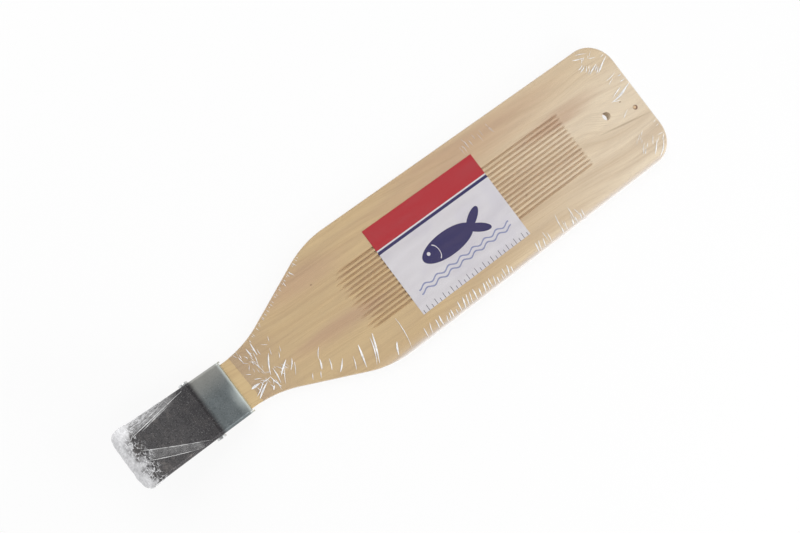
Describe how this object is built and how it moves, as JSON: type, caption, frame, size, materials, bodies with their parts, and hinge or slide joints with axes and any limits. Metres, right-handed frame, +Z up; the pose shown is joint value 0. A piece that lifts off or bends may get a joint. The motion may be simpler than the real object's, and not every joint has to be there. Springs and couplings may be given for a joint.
{
  "type": "fish fillet board",
  "caption": "Wooden paddle with a field of lengthwise grooves, a hanging hole, a paper label and a sprung toothed sheet-steel clamp on its handle that grips a fish's tail.",
  "frame": {"origin": "middle of the length and width of the wood, on its underside", "axes": "+X along the board towards its free end, away from the clamp; +Z up out of the grooved face"},
  "size_m": [0.6144, 0.1396, 0.0571],
  "materials": {
    "wood": "planed and sanded pale wood, unvarnished",
    "label_paper": "coated printed paper",
    "zinc_steel": "zinc-plated sheet steel, dull",
    "spring_steel": "drawn spring wire, oiled",
    "rivet_steel": "bright zinc-plated steel"
  },
  "bodies": {
    "root": {"board": "wood", "paper_label": "label_paper", "clamp_base": "zinc_steel", "pivot_pin": "rivet_steel", "torsion_spring": "spring_steel", "rivet_front_left": "rivet_steel", "rivet_front_right": "rivet_steel", "rivet_rear": "rivet_steel", "washer_front_left": "rivet_steel", "washer_front_right": "rivet_steel", "washer_rear": "rivet_steel"},
    "lever": {"jaw_lever": "zinc_steel"}
  },
  "joints": [
    {"name": "lever_pivot", "type": "hinge", "parent": "root", "child": "lever", "pos_m": [-0.259, 0, 0.01805], "axis": [0, -1, 0], "range_deg": [0, 30], "stiffness_Nm_per_rad": 1, "springref_deg": -57.3, "deforming": ["torsion_spring"]}
  ]
}
